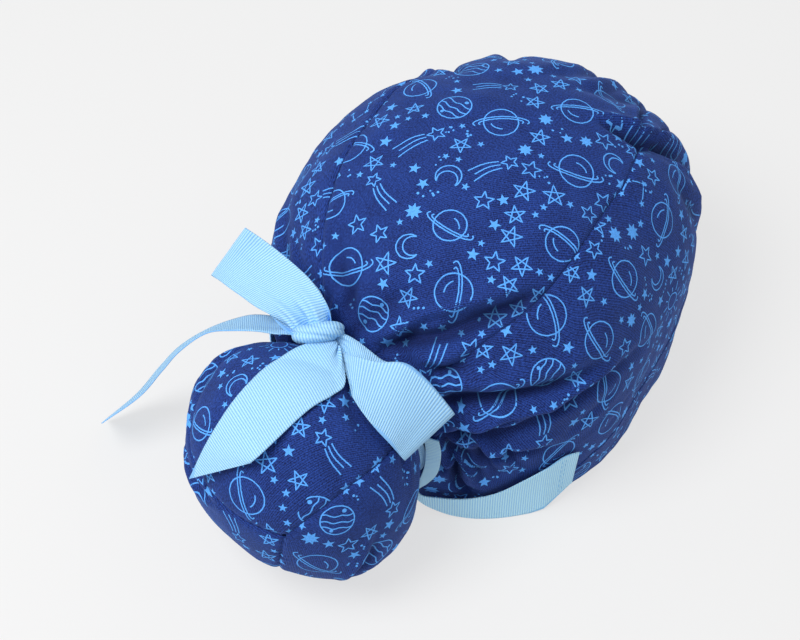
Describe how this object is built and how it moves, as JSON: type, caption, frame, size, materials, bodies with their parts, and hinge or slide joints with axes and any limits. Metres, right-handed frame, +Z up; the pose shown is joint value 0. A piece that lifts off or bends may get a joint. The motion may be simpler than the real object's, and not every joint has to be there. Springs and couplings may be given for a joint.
{
  "type": "scrub cap",
  "caption": "Domed cloth scrub cap with a back ponytail pouch, gathered neck, face-opening hem band and a ribbon bow.",
  "frame": {"origin": "bottom centre of the box round the whole cap, on the surface it lies on", "axes": "+Y towards the wearer's forehead, +X towards the wearer's right, +Z up; the rim of the face opening lies on the ground"},
  "size_m": [0.2598, 0.3398, 0.1676],
  "materials": {
    "outer_cloth": "matt woven cotton with a small blue print",
    "hem_cloth": "matt woven cotton, doubled",
    "ribbon": "ribbed grosgrain"
  },
  "bodies": {
    "root": {"centre_panel": "outer_cloth", "side_panel_right": "outer_cloth", "side_panel_left": "outer_cloth", "hem_band": "hem_cloth", "neck_wrap": "ribbon", "knot": "ribbon", "loop_left": "ribbon", "loop_right": "ribbon", "tail_front": "ribbon", "tail_left": "ribbon", "nape_tie_right": "ribbon", "nape_tie_left": "ribbon"}
  },
  "joints": []
}
